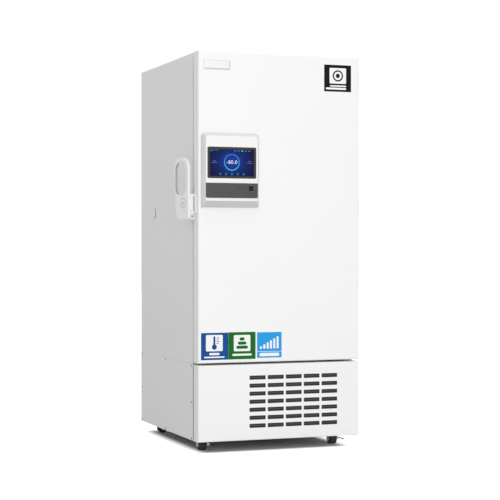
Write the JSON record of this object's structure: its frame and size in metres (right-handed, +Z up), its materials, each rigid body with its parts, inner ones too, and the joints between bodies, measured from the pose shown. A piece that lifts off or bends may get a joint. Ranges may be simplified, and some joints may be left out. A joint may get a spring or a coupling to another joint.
{
  "type": "ultra low temperature freezer",
  "caption": "Upright ultra low temperature freezer on casters: insulated door with display and side lever handle, inner doors, shelves, and a cooling unit behind a vented panel.",
  "frame": {"origin": "on the floor, under the middle of the cabinet's width and overall depth", "axes": "+X to the right seen from the front, -Y towards the front, +Z up"},
  "size_m": [0.938, 1.0196, 1.95],
  "materials": {
    "white_paint": "smooth satin powder coat",
    "side_paint": "smooth satin powder coat, light grey",
    "foam": "rigid insulating foam, sealed in",
    "steel_liner": "brushed stainless steel",
    "shelf_steel": "brushed stainless steel",
    "copper": "drawn copper tube, dulled",
    "white_plastic": "moulded, satin",
    "inner_plastic": "moulded, satin",
    "housing_plastic": "moulded, semi-gloss",
    "gasket_rubber": "soft, matt",
    "black_rubber": "soft, matt",
    "zinc": "bright zinc plate",
    "dark_steel": "black gloss enamel",
    "galvanised": "galvanised sheet",
    "fins": "mill finish",
    "dark_plastic": "moulded, matt",
    "strip_plastic": "moulded, satin",
    "filter_mesh": "frame and woven pad",
    "screen_glass": "dark glass over a display",
    "jacket": "closed-cell jacket",
    "grey_paint": "smooth enamel",
    "lock_metal": "polished"
  },
  "bodies": {
    "cabinet": {"cabinet_shell": "side_paint", "cabinet_foam": "foam", "evaporator_coil": "copper", "inner_liner": "steel_liner", "throat_trim": "white_plastic", "shelf_supports": "shelf_steel", "shelves": "shelf_steel", "inner_hinges": "shelf_steel", "base_tray": "galvanised", "corner_posts": "galvanised", "side_cover_left": "side_paint", "side_cover_right": "side_paint", "rear_cover": "side_paint", "cover_screws": "zinc", "condenser": "fins", "fan_shroud": "galvanised", "fan_motor": "dark_steel", "compressor_high_stage": "dark_steel", "compressor_low_stage": "dark_steel", "compressor_mounts": "black_rubber", "cascade_exchanger": "jacket", "oil_separator": "grey_paint", "expansion_tank": "grey_paint", "refrigerant_lines": "copper", "control_box": "galvanised", "access_port_sleeve": "white_plastic", "latch_keeper": "side_paint", "cabinet_hinges": "white_paint", "caster_plates": "zinc"},
    "door": {"door_skin": "white_paint", "door_foam": "foam", "door_liner": "inner_plastic", "door_gasket": "gasket_rubber", "door_hinge_leaves": "white_paint", "handle_bracket": "side_paint", "display_housing": "housing_plastic", "touchscreen": "screen_glass", "port_strip": "strip_plastic"},
    "lever": {"handle_lever": "housing_plastic"},
    "lock": {"lock_cylinder": "lock_metal"},
    "port_flap": {"port_cover": "dark_plastic"},
    "inner_lower": {"inner_door_lower": "inner_plastic", "inner_gasket_lower": "gasket_rubber"},
    "inner_upper": {"inner_door_upper": "inner_plastic", "inner_gasket_upper": "gasket_rubber"},
    "plug": {"port_plug": "white_plastic"},
    "panel": {"front_panel": "white_paint", "air_filter": "filter_mesh"},
    "fan": {"fan_rotor": "dark_plastic"},
    "rocker": {"rocker_switch": "dark_plastic"},
    "fork_front_left": {"caster_fork_front_left": "zinc"},
    "wheel_front_left": {"caster_wheel_front_left": "black_rubber"},
    "fork_front_right": {"caster_fork_front_right": "zinc"},
    "wheel_front_right": {"caster_wheel_front_right": "black_rubber"},
    "fork_back_left": {"caster_fork_back_left": "zinc"},
    "wheel_back_left": {"caster_wheel_back_left": "black_rubber"},
    "fork_back_right": {"caster_fork_back_right": "zinc"},
    "wheel_back_right": {"caster_wheel_back_right": "black_rubber"},
    "brake_front_left": {"brake_lever_front_left": "black_rubber"},
    "brake_front_right": {"brake_lever_front_right": "black_rubber"}
  },
  "joints": [
    {"name": "door_hinge", "type": "hinge", "parent": "cabinet", "child": "door", "pos_m": [0.434, -0.411, 1.195], "axis": [0, 0, 1], "range_deg": [0, 120]},
    {"name": "handle_pivot", "type": "hinge", "parent": "door", "child": "lever", "pos_m": [-0.441, -0.431, 1.2135], "axis": [0, 0, 1], "range_deg": [0, 60]},
    {"name": "lock_turn", "type": "hinge", "parent": "lever", "child": "lock", "pos_m": [-0.46815, -0.40375, 1.216], "axis": [0.9563, 0.2924, 0], "range_deg": [0, 90]},
    {"name": "flap_hinge", "type": "hinge", "parent": "door", "child": "port_flap", "pos_m": [-0.166, -0.5258, 1.299], "axis": [-1, 0, 0], "range_deg": [0, 100]},
    {"name": "inner_lower_hinge", "type": "hinge", "parent": "cabinet", "child": "inner_lower", "pos_m": [0.343, -0.384, 0.849], "axis": [0, 0, 1], "range_deg": [0, 90]},
    {"name": "inner_upper_hinge", "type": "hinge", "parent": "cabinet", "child": "inner_upper", "pos_m": [0.343, -0.384, 1.537], "axis": [0, 0, 1], "range_deg": [0, 90]},
    {"name": "plug_slide", "type": "slide", "parent": "cabinet", "child": "plug", "axis": [-1, 0, 0], "range_m": [0, 0.12]},
    {"name": "panel_hinge", "type": "hinge", "parent": "cabinet", "child": "panel", "pos_m": [0.394, -0.448, 0.245], "axis": [0, 0, 1], "range_deg": [0, 90]},
    {"name": "fan_spin", "type": "hinge", "parent": "cabinet", "child": "fan", "pos_m": [0.073, -0.31, 0.2476], "axis": [0, 1, 0], "continuous": true},
    {"name": "rocker_pivot", "type": "hinge", "parent": "cabinet", "child": "rocker", "pos_m": [0.316, 0.483, 0.132], "axis": [1, 0, 0], "range_deg": [0, 12]},
    {"name": "swivel_front_left", "type": "hinge", "parent": "cabinet", "child": "fork_front_left", "pos_m": [-0.35, -0.302, 0.052], "axis": [0, 0, 1], "continuous": true},
    {"name": "roll_front_left", "type": "hinge", "parent": "fork_front_left", "child": "wheel_front_left", "pos_m": [-0.35, -0.322, 0.025], "axis": [1, 0, 0], "continuous": true},
    {"name": "brake_front_left_pivot", "type": "hinge", "parent": "fork_front_left", "child": "brake_front_left", "pos_m": [-0.318, -0.322, 0.031], "axis": [0, 1, 0], "range_deg": [0, 20]},
    {"name": "swivel_front_right", "type": "hinge", "parent": "cabinet", "child": "fork_front_right", "pos_m": [0.35, -0.302, 0.052], "axis": [0, 0, 1], "continuous": true},
    {"name": "roll_front_right", "type": "hinge", "parent": "fork_front_right", "child": "wheel_front_right", "pos_m": [0.35, -0.322, 0.025], "axis": [1, 0, 0], "continuous": true},
    {"name": "brake_front_right_pivot", "type": "hinge", "parent": "fork_front_right", "child": "brake_front_right", "pos_m": [0.382, -0.322, 0.031], "axis": [0, 1, 0], "range_deg": [0, 20]},
    {"name": "swivel_back_left", "type": "hinge", "parent": "cabinet", "child": "fork_back_left", "pos_m": [-0.35, 0.41, 0.052], "axis": [0, 0, 1], "continuous": true},
    {"name": "roll_back_left", "type": "hinge", "parent": "fork_back_left", "child": "wheel_back_left", "pos_m": [-0.33, 0.41, 0.025], "axis": [0, 1, 0], "continuous": true},
    {"name": "swivel_back_right", "type": "hinge", "parent": "cabinet", "child": "fork_back_right", "pos_m": [0.35, 0.41, 0.052], "axis": [0, 0, 1], "continuous": true},
    {"name": "roll_back_right", "type": "hinge", "parent": "fork_back_right", "child": "wheel_back_right", "pos_m": [0.37, 0.41, 0.025], "axis": [0, 1, 0], "continuous": true}
  ],
  "couplings": [
    {"joint": "inner_lower_hinge", "follows": "door_hinge", "ratio": 0.75},
    {"joint": "inner_upper_hinge", "follows": "door_hinge", "ratio": 0.75}
  ]
}
